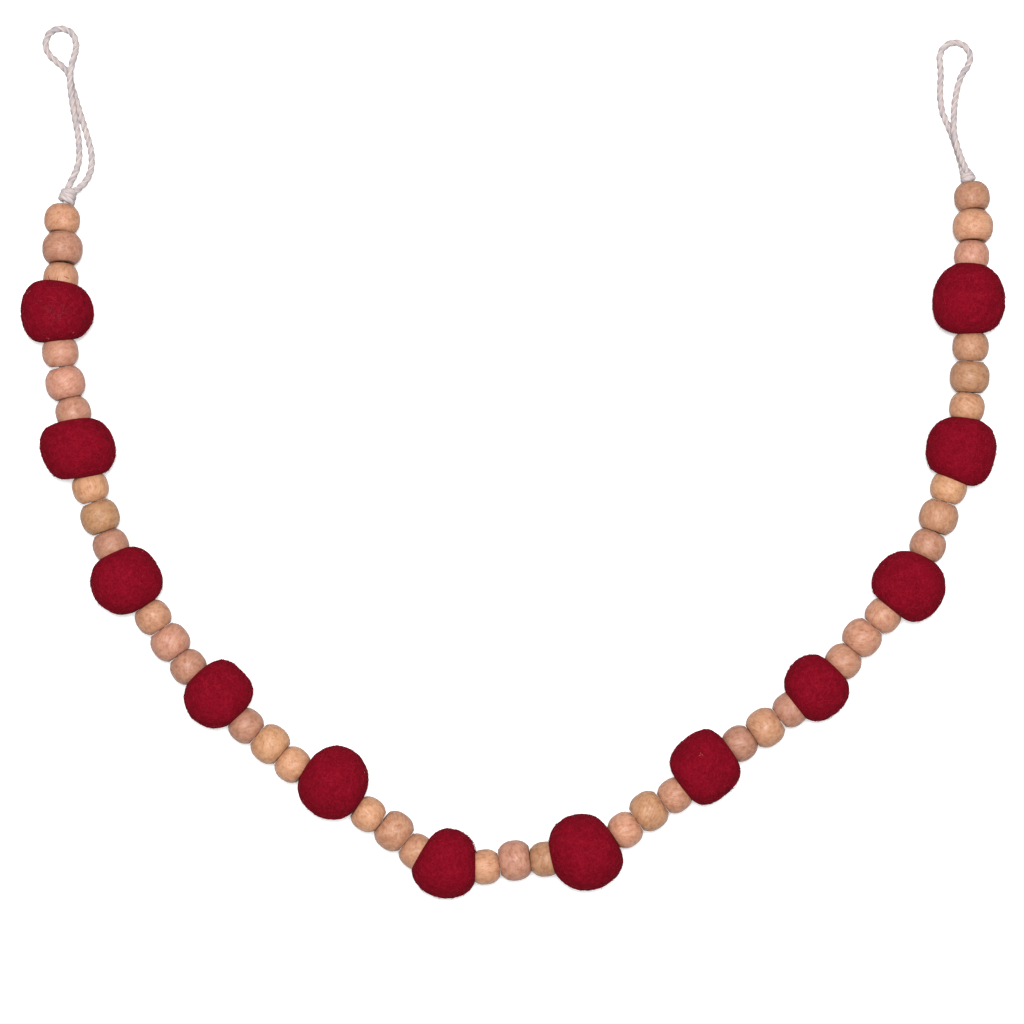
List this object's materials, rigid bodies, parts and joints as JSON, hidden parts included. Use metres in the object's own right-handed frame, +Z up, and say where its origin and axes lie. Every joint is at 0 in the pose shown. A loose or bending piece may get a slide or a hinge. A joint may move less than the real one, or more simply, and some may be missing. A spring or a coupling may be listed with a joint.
{
  "type": "felt ball garland",
  "caption": "Garland of lumpy crimson felt balls and turned wood beads on a twisted cotton cord, laid in a U, with a knot and a hanging loop at each end.",
  "frame": {"origin": "on the surface that the garland lies on, at the middle of the box round its strung length (the hanging loops left out)", "axes": "+X from the left arm of the U to the right arm, +Y from the bottom of the U to its two ends, +Z up from the surface"},
  "size_m": [0.4198, 0.3752, 0.031],
  "materials": {
    "crimson_felt": "matted wool felt",
    "natural_wood": "smooth, unpainted, satin",
    "cotton_cord": "matt twisted cotton"
  },
  "bodies": {
    "root": {"bead_01_first": "natural_wood", "bead_01_middle": "natural_wood", "bead_01_last": "natural_wood", "bead_02_first": "natural_wood", "bead_02_middle": "natural_wood", "bead_02_last": "natural_wood", "bead_03_first": "natural_wood", "bead_03_middle": "natural_wood", "bead_03_last": "natural_wood", "bead_04_first": "natural_wood", "bead_04_middle": "natural_wood", "bead_04_last": "natural_wood", "bead_05_first": "natural_wood", "bead_05_middle": "natural_wood", "bead_05_last": "natural_wood", "bead_06_first": "natural_wood", "bead_06_middle": "natural_wood", "bead_06_last": "natural_wood", "bead_07_first": "natural_wood", "bead_07_middle": "natural_wood", "bead_07_last": "natural_wood", "bead_08_first": "natural_wood", "bead_08_middle": "natural_wood", "bead_08_last": "natural_wood", "bead_09_first": "natural_wood", "bead_09_middle": "natural_wood", "bead_09_last": "natural_wood", "bead_10_first": "natural_wood", "bead_10_middle": "natural_wood", "bead_10_last": "natural_wood", "bead_11_first": "natural_wood", "bead_11_middle": "natural_wood", "bead_11_last": "natural_wood", "bead_12_first": "natural_wood", "bead_12_middle": "natural_wood", "bead_12_last": "natural_wood", "bead_13_first": "natural_wood", "bead_13_middle": "natural_wood", "bead_13_last": "natural_wood", "felt_ball_01": "crimson_felt", "felt_ball_02": "crimson_felt", "felt_ball_03": "crimson_felt", "felt_ball_04": "crimson_felt", "felt_ball_05": "crimson_felt", "felt_ball_06": "crimson_felt", "felt_ball_07": "crimson_felt", "felt_ball_08": "crimson_felt", "felt_ball_09": "crimson_felt", "felt_ball_10": "crimson_felt", "felt_ball_11": "crimson_felt", "felt_ball_12": "crimson_felt", "stringing_cord": "cotton_cord", "knot_left": "cotton_cord", "knot_right": "cotton_cord", "hanging_loop_left": "cotton_cord", "hanging_loop_right": "cotton_cord"}
  },
  "joints": []
}
